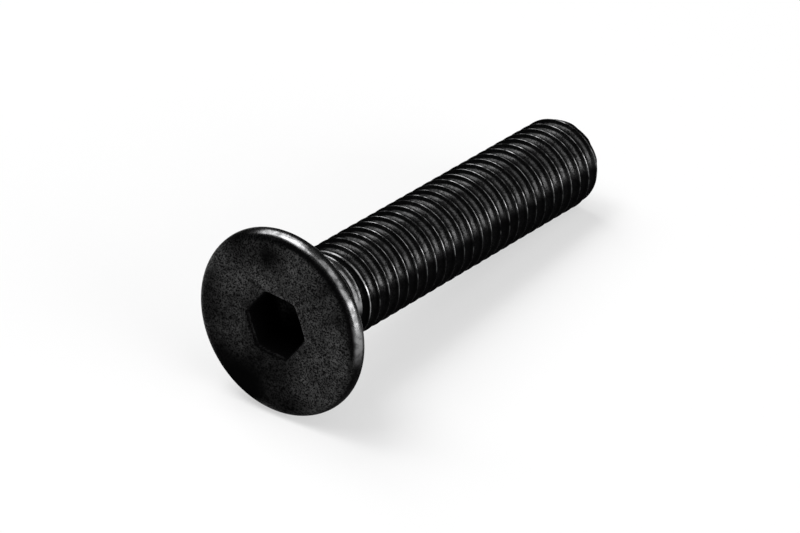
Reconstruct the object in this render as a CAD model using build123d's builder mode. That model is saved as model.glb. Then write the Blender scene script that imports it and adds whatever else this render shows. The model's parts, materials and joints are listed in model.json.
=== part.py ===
"""Countersunk socket screw, M5 x 25, threaded over its whole shank.

The screw is drawn about its own axis, with the face of the head at zero and the
tip at the end of the axis, and is then laid down as it comes to rest on a table:
on the rim of its head and on a crest near its tip.
"""

from build123d import *
import math
import os

# overall, in mm
screw_length = 25.0
thread_major = 4.9
thread_pitch = 0.8

# head: a round from the face to the rim, a narrow straight land, then a 90 degree cone
head_dia = 9.8
face_corner_radius = 0.62
rim_land = 0.08
cone_edge_radius = 0.12
underhead_fillet = 0.35

# neck between the cone and the thread, and how far it lies under the crests
neck_length = 0.48
neck_undercut = 0.27
start_bevel = 0.28

# point, and how far its end lies under the crests
point_drop = 0.2
point_length = 0.71
point_edge_radius = 0.15

# socket
socket_flats = 3.05
socket_depth = 2.1
socket_entry = 0.13
socket_entry_depth = 0.16
socket_drill_step = 0.125
socket_drill_angle = 120.0
socket_turn = 5.0

# from the thread's start to its first crest at angle zero, how far the ridge sinks into
# the core, and how far the thread's outline is drawn outside its crests
first_crest = 0.665
ridge_sink = 0.05
outline_margin = 0.1

# derived
major_radius = thread_major / 2
head_radius = head_dia / 2
neck_radius = major_radius - neck_undercut
point_radius = major_radius - point_drop
drill_radius = socket_flats / 2 - socket_drill_step
cone_start = face_corner_radius + rim_land
cone_end = cone_start + head_radius - neck_radius
thread_start = cone_end + neck_length
crest_place = thread_start + first_crest
bevel_slope = start_bevel / neck_undercut
point_slope = point_length / point_drop
outer_radius = major_radius + outline_margin

# the metric profile: crest an eighth and root a quarter of the pitch wide, flanks at 60 degrees
flank_slope = math.tan(math.radians(30))
crest_half = thread_pitch / 16
base_half = thread_pitch * 3 / 8
thread_depth = (base_half - crest_half) / flank_slope
root_radius = major_radius - thread_depth
sunk_half = base_half + ridge_sink * flank_slope

# how it lies: the crest that faces down stands a quarter turn from angle zero
down_crest = crest_place + thread_pitch / 4
rest_turns = math.floor((screw_length - point_length - down_crest) / thread_pitch)
rest_place = down_crest + rest_turns * thread_pitch + crest_half
rim_place = cone_start - cone_edge_radius * math.tan(math.radians(22.5))
tilt = math.atan2(head_radius - major_radius, rest_place - rim_place)

# blank: head, neck and the core of the thread, turned on the screw's axis
with BuildPart() as blank:
    with BuildSketch(Plane.XZ) as blank_profile:
        with BuildLine():
            Polyline(
                (0, 0),
                (head_radius, 0),
                (head_radius, cone_start),
                (neck_radius, cone_end),
                (neck_radius, thread_start),
                (root_radius, thread_start + neck_radius - root_radius),
                (root_radius, screw_length),
                (0, screw_length),
                close=True,
            )
        make_face()
        corners = blank_profile.vertices()
        fillet(corners.sort_by_distance((head_radius, 0))[0], face_corner_radius)
        corners = blank_profile.vertices()
        fillet(corners.sort_by_distance((head_radius, cone_start))[0], cone_edge_radius)
        corners = blank_profile.vertices()
        fillet(corners.sort_by_distance((neck_radius, cone_end))[0], underhead_fillet)
    revolve(axis=Axis.Z)

    # hexagon socket with its entry bevel and drilled bottom
    with BuildSketch():
        RegularPolygon(socket_flats / 2, 6, major_radius=False, rotation=socket_turn)
    extrude(amount=socket_depth, mode=Mode.SUBTRACT)
    mouth = blank.faces().sort_by(Axis.Z)[0].inner_wires()[0].edges()
    chamfer(mouth, length=socket_entry, length2=socket_entry_depth)
    with BuildSketch(Plane.XZ):
        with BuildLine():
            Polyline(
                (0, socket_depth),
                (drill_radius, socket_depth),
                (0, socket_depth + drill_radius / math.tan(math.radians(socket_drill_angle / 2))),
                close=True,
            )
        make_face()
    revolve(axis=Axis.Z, mode=Mode.SUBTRACT)

# one turn of the thread's ridge, swept along its helix
with BuildPart() as ridge:
    with BuildLine() as turn:
        Helix(pitch=thread_pitch, height=thread_pitch, radius=major_radius)
    with BuildSketch(Plane(origin=turn.line @ 0, x_dir=(1, 0, 0), z_dir=turn.line % 0)):
        with BuildLine():
            Polyline(
                (-thread_depth - ridge_sink, -sunk_half),
                (0, -crest_half),
                (0, crest_half),
                (-thread_depth - ridge_sink, sunk_half),
                close=True,
            )
        make_face()
    sweep(path=turn.line, is_frenet=True)

# thread: the turn repeated along the axis, bevelled at the neck and drawn in at the point
last_turn = math.ceil((screw_length - crest_place) / thread_pitch + 0.5)
with BuildPart() as thread:
    with Locations(*[(0, 0, crest_place + n * thread_pitch) for n in range(-2, last_turn)]):
        add(ridge.part, clean=False)
    with BuildSketch(Plane.XZ) as outline:
        with BuildLine():
            Polyline(
                (0, thread_start),
                (neck_radius, thread_start),
                (outer_radius, thread_start + (outer_radius - neck_radius) * bevel_slope),
                (outer_radius, screw_length - (outer_radius - point_radius) * point_slope),
                (point_radius, screw_length),
                (0, screw_length),
                close=True,
            )
        make_face()
        corners = outline.vertices()
        fillet(corners.sort_by_distance((point_radius, screw_length))[0], point_edge_radius)
    revolve(axis=Axis.Z, mode=Mode.INTERSECT, clean=False)

# the whole screw, upright on its head
with BuildPart() as screw:
    add(blank.part)
    add(thread.part, clean=False)

# laid down on the rim of its head and on the last full crest that faces the table,
# with the origin on the table under the middle of its length
lying = Plane(origin=(0, 0, 0), x_dir=(1, 0, 0), z_dir=(0, math.cos(tilt), -math.sin(tilt)))
head_box = blank.part.moved(lying.location).bounding_box()
tip_box = thread.faces().sort_by(Axis.Z)[-1].moved(lying.location).bounding_box()
middle = (head_box.min.Y + tip_box.max.Y) / 2
laid = screw.part.moved(lying.location).moved(Location((0, -middle, -head_box.min.Z)))
laid.label = "screw"

os.makedirs("parts", exist_ok=True)
export_step(laid, "parts/screw.step")
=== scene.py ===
"""A countersunk socket screw with a black oxide finish, lying on a pale floor."""

import json
import math

import bmesh
import bpy
from mathutils import Matrix, Vector, noise


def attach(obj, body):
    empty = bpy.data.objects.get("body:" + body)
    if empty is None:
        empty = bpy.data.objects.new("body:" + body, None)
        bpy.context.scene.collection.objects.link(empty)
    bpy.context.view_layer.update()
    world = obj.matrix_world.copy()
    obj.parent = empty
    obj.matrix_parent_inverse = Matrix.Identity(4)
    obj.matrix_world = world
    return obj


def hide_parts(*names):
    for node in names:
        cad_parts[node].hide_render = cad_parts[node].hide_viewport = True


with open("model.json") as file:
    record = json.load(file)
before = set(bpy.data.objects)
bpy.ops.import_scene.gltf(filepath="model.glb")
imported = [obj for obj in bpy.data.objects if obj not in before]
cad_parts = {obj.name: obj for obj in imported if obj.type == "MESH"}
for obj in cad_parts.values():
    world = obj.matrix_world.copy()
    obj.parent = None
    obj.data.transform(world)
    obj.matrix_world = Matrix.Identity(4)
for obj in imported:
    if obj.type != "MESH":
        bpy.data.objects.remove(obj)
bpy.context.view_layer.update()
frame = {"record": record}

MM = 0.001

# the screw's own axis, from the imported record: out of the face's centre and towards the tip
mounts = {m["name"]: m for m in frame["record"]["mounts"]}
face_centre = Vector(mounts["hex_socket"]["pos_m"])
axis = -Vector(mounts["hex_socket"]["axis"]).normalized()
side = Vector((1, 0, 0))
down = axis.cross(side)
to_world = Matrix((side, down, axis)).transposed()

# radii, and places along the axis from the face of the head, in mm, as in the CAD source;
# the hexagon's are half its flats, the cone's angle to the axis is in degrees
LENGTH = 25.0
PITCH = 0.8
MAJOR = 2.45
HEAD = 4.9
FACE_FLAT = 4.28
RIM_ROUND = HEAD - FACE_FLAT
CONE_START = 0.7
CONE_ANGLE = 45.0
EDGE_ROUND = 0.12
NECK = 2.18
CONE_END = CONE_START + HEAD - NECK
FILLET = 0.35
CREST_PLACE = 4.565
POINT = 2.25
POINT_LENGTH = 0.71
POINT_ROUND = 0.15
SOCKET = 3.05 / 2
SOCKET_MOUTH = SOCKET + 0.13
SOCKET_ENTRY = 0.16
SOCKET_DEPTH = 2.1
SOCKET_TURN = math.radians(5.0)
DRILL = 1.4
DRILL_TIP = SOCKET_DEPTH + DRILL / math.tan(math.radians(60))

# finer forms of the visible model, in mm: softened corners of the socket, two steps on the neck
# (where each starts, and how far its foot and its top stand out of the neck), the neck's end tucked
# under the thread, the slope on which the thread starts, softened crests and round grooves, and
# the least radius and the start, inside the neck, of the thread's piece
CORNER_CUT = 0.018
CORNER_REACH = 1.02
CORNER_SHARPNESS = 18.0
ENTRY_CURVE = 1.4
NECK_STEPS = ((3.69, 0.0045, 0.09), (3.9, 0.084, 0.14))
STEP_RUN = 0.13
TUCK_DEPTH = 0.15
TUCK_END = 4.23
THREAD_START = 4.06
START_LENGTH = 0.49
CREST_HALF = 0.032
CREST_SOFT = 0.03
CREST_UNEVEN = 0.008
ROOT_ROUND = 0.42
ROOT_SPREAD = 45.0
ROOT_DEPTH = 0.305
CORE = 1.9
HIDDEN_START = 3.55

# how finely the two pieces are divided, the turns that are drawn before the first crest, and the
# angle past which an edge is shaded as sharp
AROUND = 240
DRILL_ROWS = 6
WALL_ROWS = 8
ENTRY_ROWS = 4
FACE_ROWS = 16
TURN_STEPS = 96
ROOT_STEPS = 5
TURNS_BEFORE = 2
SHARP_ANGLE = math.radians(38)


def place(radius, angle, along):
    """World point, in metres, at a radius, an angle about the axis and a place along it, in mm."""
    local = Vector((radius * math.cos(angle), radius * math.sin(angle), along))
    return face_centre + to_world @ (local * MM)


def smooth(x):
    """0 up to 0, 1 from 1 on, and an even curve between them."""
    x = min(max(x, 0.0), 1.0)
    return x * x * (3 - 2 * x)


def rise(value, start, run):
    """0 up to start, and 1 once the value is run past it."""
    return smooth((value - start) / run)


def fall(value, end, run):
    """1 until the value is run short of end, and 0 from end on."""
    return smooth((end - value) / run)


# ---- wear and gloss, with painted highlight and shade ----------------------
# the side that is rubbed most, which is also the lit side that keeps the painted highlight,
# is given in degrees about the axis, the other middles and widths in degrees from it, and
# places and lengths along the axis in mm
RUBBED_AND_LIT_MIDDLE = -60.0
FAR_MIDDLE = -150.0
RIM_BAND_MIDDLE = 5.0
# a dark line of painted shade on the rim's round: its place along the axis, and its middle about it
SHADE_LINE_PLACE = 0.085
SHADE_LINE_MIDDLE = 20.0
START_CREST = 4.66
# a patch on the thread where the gloss is lowered: its place and length along the axis, its middle and
# width about it
DULL_PATCH_PLACE = 16.6
DULL_PATCH_LENGTH = 2.4
DULL_PATCH_MIDDLE = 45.0
DULL_PATCH_WIDTH = 26.0

# how far the oxide is rubbed off where it is most, before the material breaks it up, which on
# the lit side also paints highlight; and gloss as a share of the face's, lowered in places to paint
# shade
RIM_WEAR_AND_HIGHLIGHT = 0.64
NECK_WEAR_AND_HIGHLIGHT = 0.65
CREST_WEAR_AND_HIGHLIGHT = 0.9
FLANK_WEAR_AND_HIGHLIGHT = 0.06
SHADED_SIDE_GLOSS = 0.04
FAR_SHEEN = 0.5
SOCKET_SHADE_GLOSS = 0.2
GROOVE_SHADE_GLOSS = 0.1
DULL_PATCH_GLOSS = 0.15


def from_middle(angle):
    """Degrees about the axis from the rubbed side, which also keeps the painted highlight."""
    return (math.degrees(angle) - RUBBED_AND_LIT_MIDDLE + 180) % 360 - 180


def near_side(angle, middle, reach, fade):
    """1 about a middle, given in degrees from the rubbed and lit side, and 0 beyond reach degrees of
    it.
    """
    return fall(abs(from_middle(angle - math.radians(middle))), end=reach, run=fade)


def far_side(angle):
    """1 on the side of the screw that is turned away from the camera, and 0 on the near one."""
    return near_side(angle, FAR_MIDDLE, reach=75, fade=40)


def gloss_with_painted_shade(angle, end=52.0):
    """How much gloss the round of the screw keeps, as painted shade: it fades over the top and
    ends at the underside, which so renders dark.
    """
    turn = from_middle(angle)
    top = 0.25 * rise(turn, start=-75, run=30) + 0.75 * rise(turn, start=-55, run=45)
    lit = SHADED_SIDE_GLOSS + (1 - SHADED_SIDE_GLOSS) * top * fall(turn, end, run=16)
    return lit + FAR_SHEEN * far_side(angle)


def head_wear_and_highlight(radius, along, angle):
    """How far the oxide is rubbed off the head, on the rim's round and on the neck: kept to the
    lit side as painted highlight, and fading towards the underside as painted shade.
    """
    if radius > FACE_FLAT and along <= CONE_START + EDGE_ROUND:
        near_land = rise(along, start=0.48, run=0.12)
        across = rise(along, start=0.12, run=0.12) * (1 - 0.8 * near_land)
        # the rim's worn band is kept to the lit side: painted highlight
        return RIM_WEAR_AND_HIGHLIGHT * across * near_side(angle, RIM_BAND_MIDDLE, reach=66, fade=22)
    turn = from_middle(angle)
    # the neck's steel follows the gloss with painted shade, and over a band of angles it is cut to 40%,
    # so it is darker there
    dimmed_band = rise(turn, start=24, run=8) * fall(turn, end=48, run=8)
    on_neck = rise(along, start=CONE_END, run=0.14)
    return NECK_WEAR_AND_HIGHLIGHT * on_neck * gloss_with_painted_shade(angle, end=64.0) * (1 - 0.6 * dimmed_band)


def head_gloss_and_shade(radius, along, angle):
    """The face keeps its gloss; painted shade dulls the socket, a line by the rim and the underside."""
    if along < 0.001:
        return 1.0
    # the socket is dulled to paint shade in it
    if radius < SOCKET_MOUTH * 1.2:
        return SOCKET_SHADE_GLOSS
    beyond_face = rise(along, start=0.03, run=0.25)
    # a thin dark line of painted shade on the rim's round, on the lit side
    across_line = fall(abs(along - SHADE_LINE_PLACE), end=0.084, run=0.07)
    painted_shade_line = across_line * near_side(angle, SHADE_LINE_MIDDLE, reach=60, fade=20)
    return (1.0 + (gloss_with_painted_shade(angle) - 1.0) * beyond_face) * (1 - 0.85 * painted_shade_line)


def thread_wear_and_highlight(radius, along, angle):
    """How far the oxide is rubbed off the thread: most on its crests, and unbroken on the first;
    kept to the lit side as painted highlight, it fades towards the underside as painted shade.
    """
    on_crest = rise(radius, start=MAJOR - 0.02, run=0.02)
    if along < START_CREST:
        # the first crest is brighter towards the underside: painted highlight
        towards_underside = rise(from_middle(angle), start=10, run=15)
        return (0.6 + 0.35 * towards_underside) * on_crest * gloss_with_painted_shade(angle, end=76.0)
    patches = noise.noise(Vector((angle * 9.0, radius * 4.0, 7.7)))
    # the crests' steel is kept to the lit side as painted highlight, fades towards the underside as
    # painted shade, and comes back on the far side
    rubbed_and_lit = 0.03 + 0.97 * near_side(angle, middle=0, reach=72, fade=45) + 0.5 * far_side(angle)
    crest_wear_and_highlight = CREST_WEAR_AND_HIGHLIGHT * on_crest * rise(patches, start=-0.32, run=0.5) * rubbed_and_lit
    return FLANK_WEAR_AND_HIGHLIGHT * gloss_with_painted_shade(angle) + crest_wear_and_highlight


def thread_gloss_and_shade(radius, along, angle):
    """The gloss of the thread: painted shade dulls the groove behind the neck's steps, and a patch
    further along is dull too.
    """
    in_first_groove = along < START_CREST and radius < MAJOR - 0.06
    along_patch = (along - DULL_PATCH_PLACE) / DULL_PATCH_LENGTH
    round_patch = (from_middle(angle) - DULL_PATCH_MIDDLE) / DULL_PATCH_WIDTH
    outside_patch = rise(math.hypot(along_patch, round_patch), start=0.375, run=0.625)
    # painted shade in the first groove
    groove_shade = GROOVE_SHADE_GLOSS if in_first_groove else 1.0
    return gloss_with_painted_shade(angle) * groove_shade * (DULL_PATCH_GLOSS + (1 - DULL_PATCH_GLOSS) * outside_patch)


# ---- head, socket and neck -------------------------------------------------
def hexagon(flat):
    """Radii around a hexagon with softened corners, from its first corner on."""
    corner = (flat / math.cos(math.pi / 6) - CORNER_CUT) * CORNER_REACH
    radii = []
    for i in range(AROUND):
        turn = (2 * math.pi * i / AROUND) % (math.pi / 3) - math.pi / 6
        straight = flat / math.cos(turn)
        both = straight**-CORNER_SHARPNESS + corner**-CORNER_SHARPNESS
        radii.append(both ** (-1 / CORNER_SHARPNESS))
    return radii


def arc(centre, radius, start, end, count):
    """Points (radius, along) of an arc in the axial plane, angles in degrees from +radius to +along."""
    points = []
    for i in range(count + 1):
        a = math.radians(start + (end - start) * i / count)
        points.append((centre[0] + radius * math.cos(a), centre[1] + radius * math.sin(a)))
    return points


def line(start, end, count):
    """Points (radius, along) that divide a straight run evenly."""
    return [
        (start[0] + (end[0] - start[0]) * i / count, start[1] + (end[1] - start[1]) * i / count)
        for i in range(count + 1)
    ]


def joined(*runs):
    """One run of points, without the repeated ones where two runs meet."""
    points = []
    for run in runs:
        for point in run:
            if not points or math.dist(points[-1], point) > 1e-5:
                points.append(point)
    return points


def outside():
    """Points (radius, along) from the edge of the flat face over the rim to the end of the neck."""
    edge_reach = EDGE_ROUND * math.tan(math.radians(CONE_ANGLE / 2))
    edge_slant = edge_reach * math.sqrt(0.5)
    fillet_reach = FILLET * math.tan(math.radians(CONE_ANGLE / 2))
    fillet_slant = fillet_reach * math.sqrt(0.5)
    cone = (
        (HEAD - edge_slant, CONE_START + edge_slant),
        (NECK + fillet_slant, CONE_END - fillet_slant),
    )
    steps = [
        ((NECK + foot, start), (NECK + top, start + STEP_RUN)) for start, foot, top in NECK_STEPS
    ]
    return joined(
        arc((FACE_FLAT, RIM_ROUND), RIM_ROUND, -90, 0, count=16),
        line((HEAD, RIM_ROUND), (HEAD, CONE_START - edge_reach), count=1),
        arc((HEAD - EDGE_ROUND, CONE_START - edge_reach), EDGE_ROUND, 0, CONE_ANGLE, count=5),
        line(*cone, count=18),
        arc((NECK + FILLET, CONE_END + fillet_reach), FILLET, 180 + CONE_ANGLE, 180, count=8),
        line((NECK, CONE_END + fillet_reach), (NECK, NECK_STEPS[0][0]), count=1),
        *steps,
        [(NECK - TUCK_DEPTH, TUCK_END)],
    )


def socket_rings():
    """Rings of (radius, along) from the drilled bottom of the socket over its walls to its mouth."""
    rings = []
    for k in range(1, DRILL_ROWS + 1):
        along = DRILL_TIP - (DRILL_TIP - SOCKET_DEPTH) * k / DRILL_ROWS
        rings.append([(DRILL * k / DRILL_ROWS, along)] * AROUND)
    wall, mouth = hexagon(SOCKET), hexagon(SOCKET_MOUTH)
    for k in range(WALL_ROWS + 1):
        along = SOCKET_DEPTH + (SOCKET_ENTRY - SOCKET_DEPTH) * k / WALL_ROWS
        rings.append([(r, along) for r in wall])
    for k in range(1, ENTRY_ROWS + 1):
        t = k / ENTRY_ROWS
        along = SOCKET_ENTRY * (1 - t) ** ENTRY_CURVE
        rings.append([(a + (b - a) * t, along) for a, b in zip(wall, mouth)])
    return rings


def face_rings():
    """Rings of (radius, along) over the flat face, from the socket's mouth towards the rim."""
    mouth = hexagon(SOCKET_MOUTH)
    rings = []
    for k in range(1, FACE_ROWS):
        t = k / FACE_ROWS
        rings.append([(r + (FACE_FLAT - r) * t, 0.0) for r in mouth])
    return rings


def build_head():
    """Vertices, faces, wear and gloss of the head, closed at the drilled tip and the neck's end;
    the wear also paints highlight and the gloss paints shade.
    """
    rings = socket_rings() + face_rings() + [[point] * AROUND for point in outside()]
    verts = [place(0, 0, DRILL_TIP)]
    wear_and_highlight, gloss_and_shade = [0.0], [1.0]
    for ring in rings:
        for i, (radius, along) in enumerate(ring):
            angle = SOCKET_TURN + 2 * math.pi * i / AROUND
            verts.append(place(radius, angle, along))
            wear_and_highlight.append(head_wear_and_highlight(radius, along, angle))
            gloss_and_shade.append(head_gloss_and_shade(radius, along, angle))
    faces = [(0, 1 + (i + 1) % AROUND, 1 + i) for i in range(AROUND)]
    for k in range(len(rings) - 1):
        a, b = 1 + k * AROUND, 1 + (k + 1) * AROUND
        for i in range(AROUND):
            j = (i + 1) % AROUND
            faces.append((a + i, a + j, b + j, b + i))
    faces.append(tuple(range(len(verts) - AROUND, len(verts))))
    return verts, faces, wear_and_highlight, gloss_and_shade


# ---- thread ----------------------------------------------------------------
def thread_profile():
    """(offset along the axis, radius) over one pitch, from one groove's middle to the next."""
    centre = MAJOR - ROOT_DEPTH + ROOT_ROUND
    half = []
    for i in range(ROOT_STEPS + 1):
        a = math.radians(ROOT_SPREAD * i / ROOT_STEPS)
        half.append((-PITCH / 2 + ROOT_ROUND * math.sin(a), centre - ROOT_ROUND * math.cos(a)))
    base = half[-1]
    edge = (-CREST_HALF - CREST_SOFT * 0.35, MAJOR - CREST_SOFT)
    for t in (0.3, 0.65, 1.0):
        half.append((base[0] + (edge[0] - base[0]) * t, base[1] + (edge[1] - base[1]) * t))
    half.append((-CREST_HALF + CREST_SOFT * 0.3, MAJOR - CREST_SOFT * 0.25))
    half.append((-CREST_HALF + CREST_SOFT, MAJOR))
    return half + [(-o, r) for o, r in reversed(half)]


def envelope(along):
    """Largest radius that the slope at the neck and the point leave the thread."""
    start = NECK + (along - THREAD_START) * (MAJOR - NECK) / START_LENGTH
    end = POINT + (LENGTH - along) * (MAJOR - POINT) / POINT_LENGTH
    past = (along - (LENGTH - POINT_ROUND)) / POINT_ROUND
    if past > 0:
        end -= POINT_ROUND * (1 - math.sqrt(max(1 - past**2, 0.0)))
    return max(min(start, end), CORE)


def build_thread():
    """Vertices, faces, wear and gloss of the helix, longer at both ends than the thread itself;
    the wear also paints highlight and the gloss paints shade.
    """
    profile = thread_profile()
    rows = len(profile)
    first = -TURNS_BEFORE * TURN_STEPS
    last = math.ceil((LENGTH - CREST_PLACE) / PITCH + 1) * TURN_STEPS
    verts, faces, wear_and_highlight, gloss_and_shade = [], [], [], []
    for t in range(first, last + 1):
        angle = 2 * math.pi * t / TURN_STEPS
        crest = CREST_PLACE + PITCH * t / TURN_STEPS
        for offset, radius in profile:
            along = crest + offset
            wear_and_highlight.append(thread_wear_and_highlight(radius, along, angle))
            gloss_and_shade.append(thread_gloss_and_shade(radius, along, angle))
            uneven = noise.noise(Vector((angle * 0.9, along * 2.2, 3.1))) * CREST_UNEVEN
            outer = radius + uneven * rise(radius, start=2.3, run=0.15)
            verts.append(place(min(outer, envelope(along)), angle, along))
    for t in range(last - first):
        for r in range(rows - 1):
            a = t * rows + r
            faces.append((a, a + rows, a + rows + 1, a + 1))
    return verts, faces, wear_and_highlight, gloss_and_shade


# ---- meshes ----------------------------------------------------------------
def add_piece(name, verts, faces, wear_and_highlight, gloss_and_shade):
    """A new object whose vertices carry how far they are rubbed and how glossy they are, with
    painted highlight in the first and painted shade in the second.
    """
    mesh = bpy.data.meshes.new(name)
    mesh.from_pydata(verts, [], faces)
    mesh.attributes.new("wear_and_highlight", "FLOAT", "POINT").data.foreach_set("value", wear_and_highlight)
    mesh.attributes.new("gloss_and_shade", "FLOAT", "POINT").data.foreach_set("value", gloss_and_shade)
    obj = bpy.data.objects.new(name, mesh)
    bpy.context.collection.objects.link(obj)
    return obj


def cut(mesh, along, keep_above):
    """Trim the mesh square to the axis and close the cut."""
    bm = bmesh.new()
    bm.from_mesh(mesh)
    result = bmesh.ops.bisect_plane(
        bm,
        geom=bm.verts[:] + bm.edges[:] + bm.faces[:],
        dist=1e-8,
        plane_co=place(0, 0, along),
        plane_no=axis,
        clear_outer=not keep_above,
        clear_inner=keep_above,
    )
    edges = [e for e in result["geom_cut"] if isinstance(e, bmesh.types.BMEdge)]
    bmesh.ops.holes_fill(bm, edges=edges, sides=0)
    bm.to_mesh(mesh)
    bm.free()


def weld(mesh, distance):
    """Join the vertices that lie together and turn every face outwards."""
    bm = bmesh.new()
    bm.from_mesh(mesh)
    bmesh.ops.remove_doubles(bm, verts=bm.verts[:], dist=distance)
    bmesh.ops.recalc_face_normals(bm, faces=bm.faces[:])
    bm.to_mesh(mesh)
    bm.free()


# ---- shader nodes ----------------------------------------------------------
def node_material(name):
    """A material with its node tree and the shader that it starts with."""
    material = bpy.data.materials.new(name)
    material.use_nodes = True
    tree = material.node_tree
    return material, tree, tree.nodes["Principled BSDF"]


def set_inputs(node, values):
    """Set a node's own sockets by their names."""
    for name, value in values.items():
        node.inputs[name].default_value = value


def surface_mix(tree, share, first, second):
    """Show the first shader with a share of the second over it."""
    mix = tree.nodes.new("ShaderNodeMixShader")
    tree.links.new(share, mix.inputs["Fac"])
    tree.links.new(first, mix.inputs[1])
    tree.links.new(second, mix.inputs[2])
    tree.links.new(mix.outputs["Shader"], tree.nodes["Material Output"].inputs["Surface"])


def own_place(tree):
    """The point's place in the object's own coordinates, in metres."""
    node = tree.nodes.get("Texture Coordinate") or tree.nodes.new("ShaderNodeTexCoord")
    return node.outputs["Object"]


def texture(tree, scale, detail, rough=0.6):
    """Noise fixed to the object, with its scale counted per metre."""
    node = tree.nodes.new("ShaderNodeTexNoise")
    set_inputs(node, {"Scale": scale, "Detail": detail, "Roughness": rough})
    tree.links.new(own_place(tree), node.inputs["Vector"])
    return node.outputs["Fac"]


def ranged(tree, source, low, high, dark, pale):
    """A node whose result goes from dark to pale as the value goes from low to high."""
    node = tree.nodes.new("ShaderNodeMapRange")
    set_inputs(node, {"From Min": low, "From Max": high, "To Min": dark, "To Max": pale})
    tree.links.new(source, node.inputs["Value"])
    return node


def maths(tree, operation, first, second):
    """One value worked out from two that are linked in."""
    node = tree.nodes.new("ShaderNodeMath")
    node.operation = operation
    tree.links.new(first, node.inputs[0])
    tree.links.new(second, node.inputs[1])
    return node.outputs["Value"]


def attribute(tree, name):
    """A value that the mesh carries at each vertex."""
    node = tree.nodes.new("ShaderNodeAttribute")
    node.attribute_name = name
    return node.outputs["Fac"]


def face_spot(tree, across, up, inner, outer, scaled):
    """How a round spot of the face scales the gloss: by scaled inside, and by 1 outside, in mm."""
    away = tree.nodes.new("ShaderNodeVectorMath")
    away.operation = "DISTANCE"
    away.inputs[1].default_value = place(math.hypot(across, up), math.atan2(-up, across), 0)
    tree.links.new(own_place(tree), away.inputs[0])
    soft = ranged(tree, away.outputs["Value"], inner * MM, outer * MM, dark=scaled, pale=1.0)
    soft.interpolation_type = "SMOOTHSTEP"
    return soft.outputs["Result"]


# ---- black oxide steel -----------------------------------------------------
# the grain's height is in metres
OXIDE_COLOUR = (0.0018, 0.0018, 0.0019, 1)
STEEL_COLOUR = (0.32, 0.32, 0.324, 1)
STEEL_ROUGHNESS = 0.22
GRAIN_HEIGHT = 0.000006
GRAIN_STRENGTH = 0.3

# spots of the face: across and up from its centre, inner and outer radius in mm, gloss inside;
# the first three, towards the bottom, are painted shade, the rest dull the left edge and two
# patches at the top and brighten one
FACE_SHADE_AND_SPOTS = (
    (-1.9, -4.0, 0.8, 4.2, 0.0),
    (-3.8, -3.2, 0.6, 2.4, 0.1),
    (1.6, -5.0, 0.6, 3.0, 0.15),
    (-5.2, 0.3, 0.6, 3.4, 0.2),
    (-0.7, 3.6, 0.1, 1.5, 0.05),
    (-2.7, 3.5, 0.1, 1.5, 0.25),
    (-1.1, 2.2, 0.3, 1.8, 1.8),
)


def oxide_gloss_and_shade(tree):
    """The oxide's gloss: cloudy, mottled and speckled, with dull and bright spots on the face,
    the dull ones towards its bottom painted shade.
    """
    clouds = texture(tree, scale=420.0, detail=5.0, rough=0.62)
    speckle = texture(tree, scale=11500.0, detail=2.0, rough=0.7)
    mottling = texture(tree, scale=2600.0, detail=2.0)
    clouds = ranged(tree, clouds, low=0.36, high=0.6, dark=0.1, pale=0.42).outputs["Result"]
    speckle = ranged(tree, speckle, low=0.44, high=0.55, dark=0.02, pale=1.25).outputs["Result"]
    mottling = ranged(tree, mottling, low=0.35, high=0.65, dark=0.6, pale=1.25).outputs["Result"]
    gloss_and_shade = maths(tree, "MULTIPLY", clouds, speckle)
    gloss_and_shade = maths(tree, "MULTIPLY", gloss_and_shade, mottling)
    gloss_and_shade = maths(tree, "MULTIPLY", gloss_and_shade, attribute(tree, "gloss_and_shade"))
    for spot in FACE_SHADE_AND_SPOTS:
        gloss_and_shade = maths(tree, "MULTIPLY", gloss_and_shade, face_spot(tree, *spot))
    return gloss_and_shade


def screw_material():
    """Black oxide, rubbed through to dark steel where the wear attribute is high; that attribute
    also paints highlight on the lit side.
    """
    material, tree, oxide = node_material("black_oxide_steel")
    steel = tree.nodes.new("ShaderNodeBsdfPrincipled")
    set_inputs(oxide, {"Base Color": OXIDE_COLOUR})
    set_inputs(
        steel, {"Base Color": STEEL_COLOUR, "Metallic": 1.0, "Roughness": STEEL_ROUGHNESS}
    )

    grain = texture(tree, scale=9000.0, detail=3.0)
    roughness = ranged(tree, grain, low=0.3, high=0.7, dark=0.28, pale=0.4)
    tree.links.new(roughness.outputs["Result"], oxide.inputs["Roughness"])
    tree.links.new(oxide_gloss_and_shade(tree), oxide.inputs["Specular IOR Level"])
    bump = tree.nodes.new("ShaderNodeBump")
    set_inputs(bump, {"Strength": GRAIN_STRENGTH, "Distance": GRAIN_HEIGHT})
    tree.links.new(grain, bump.inputs["Height"])
    for shader in (oxide, steel):
        tree.links.new(bump.outputs["Normal"], shader.inputs["Normal"])

    scratches = texture(tree, scale=2200.0, detail=4.0, rough=0.65)
    broken = ranged(tree, scratches, low=0.38, high=0.58, dark=0.35, pale=1.15)
    rubbed_and_lit = maths(tree, "MULTIPLY", attribute(tree, "wear_and_highlight"), broken.outputs["Result"])
    surface_mix(tree, rubbed_and_lit, oxide.outputs["BSDF"], steel.outputs["BSDF"])
    return material


# ---- the two pieces --------------------------------------------------------
# how near vertices lie, in metres, that are joined: where the turns meet, and at last in each piece
TURN_WELD = 2e-7
LAST_WELD = 1e-7

head = add_piece("screw_head", *build_head())
thread = add_piece("screw_thread", *build_thread())
weld(thread.data, TURN_WELD)
cut(thread.data, HIDDEN_START, keep_above=True)
cut(thread.data, LENGTH, keep_above=False)

steel_material = screw_material()
for piece in (head, thread):
    weld(piece.data, LAST_WELD)
    piece.data.shade_smooth()
    piece.data.set_sharp_from_angle(angle=SHARP_ANGLE)
    piece.data.materials.append(steel_material)
    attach(piece, "root")
    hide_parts("screw")

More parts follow.
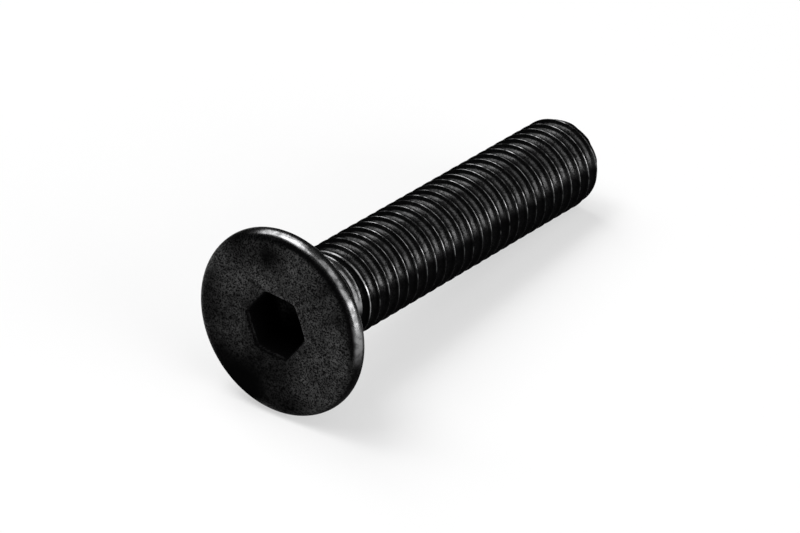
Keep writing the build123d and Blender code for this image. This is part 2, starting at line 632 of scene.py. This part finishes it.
# ---- floor, light and camera -----------------------------------------------
# the floor's size, how far it lies under the screw, and the lamps' distance are in metres
FLOOR_SIZE = 3.0
FLOOR_DROP = 0.00002
FLOOR_COLOUR = (0.9, 0.9, 0.9, 1)
EVEN_WHITE = 0.55
WORLD_STRENGTH = 0.035
LAMP_DISTANCE = 0.6


def floor_material():
    """Matt white; a share of what the camera and mirrors see of it is an even white of its own."""
    material, tree, matt = node_material("floor_white")
    set_inputs(
        matt, {"Base Color": FLOOR_COLOUR, "Roughness": 0.95, "Specular IOR Level": 0.0}
    )
    even = tree.nodes.new("ShaderNodeEmission")
    rays = tree.nodes.new("ShaderNodeLightPath").outputs
    seen = maths(tree, "MAXIMUM", rays["Is Camera Ray"], rays["Is Glossy Ray"])
    seen = maths(tree, "MAXIMUM", seen, rays["Is Transmission Ray"])
    share = tree.nodes.new("ShaderNodeMath")
    share.operation = "MULTIPLY"
    share.inputs[1].default_value = EVEN_WHITE
    tree.links.new(seen, share.inputs[0])
    surface_mix(tree, share.outputs["Value"], matt.outputs["BSDF"], even.outputs["Emission"])
    return material


bpy.ops.mesh.primitive_plane_add(size=FLOOR_SIZE, location=(0, 0, -FLOOR_DROP))
floor = bpy.context.object
floor.name = "floor"
floor.data.materials.append(floor_material())

world = bpy.data.worlds.new("studio")
bpy.context.scene.world = world
world.use_nodes = True
sky = world.node_tree.nodes["Background"]
set_inputs(sky, {"Color": (1, 1, 1, 1), "Strength": WORLD_STRENGTH})


def softbox(name, azimuth, elevation, wide, tall, radiance):
    """A lamp seen from the screw at an azimuth (0 is +Y, 90 is +X), all angles in degrees."""
    a, e = math.radians(azimuth), math.radians(elevation)
    towards = Vector((math.sin(a) * math.cos(e), math.cos(a) * math.cos(e), math.sin(e)))
    data = bpy.data.lights.new(name, "AREA")
    data.shape = "RECTANGLE"
    data.size = 2 * LAMP_DISTANCE * math.tan(math.radians(wide / 2))
    data.size_y = 2 * LAMP_DISTANCE * math.tan(math.radians(tall / 2))
    data.energy = radiance * math.pi * data.size * data.size_y
    lamp = bpy.data.objects.new(name, data)
    lamp.location = towards * LAMP_DISTANCE
    lamp.rotation_euler = towards.to_track_quat("Z", "Y").to_euler()
    bpy.context.collection.objects.link(lamp)


softbox("top_left", azimuth=276, elevation=57, wide=38, tall=42, radiance=3.9)
softbox("top", azimuth=228, elevation=68, wide=34, tall=26, radiance=3.9)
softbox("right", azimuth=92, elevation=14, wide=44, tall=26, radiance=4.8)
softbox("right_high", azimuth=104, elevation=52, wide=40, tall=50, radiance=1.5)

# the camera's place in mm, the direction it looks in, its lens in mm and its near limit in metres
CAMERA_PLACE = Vector((126.4785, -175.2477, 138.8320))
CAMERA_LOOK = Vector((-0.498247, 0.682509, -0.534726))
CAMERA_LENS = 227.0115
CAMERA_NEAR = 0.01

camera_data = bpy.data.cameras.new("camera")
camera_data.lens = CAMERA_LENS
camera_data.clip_start = CAMERA_NEAR
camera = bpy.data.objects.new("camera", camera_data)
camera.location = CAMERA_PLACE * MM
camera.rotation_euler = CAMERA_LOOK.to_track_quat("-Z", "Y").to_euler()
bpy.context.collection.objects.link(camera)
bpy.context.scene.camera = camera
bpy.context.scene.view_settings.view_transform = "Standard"
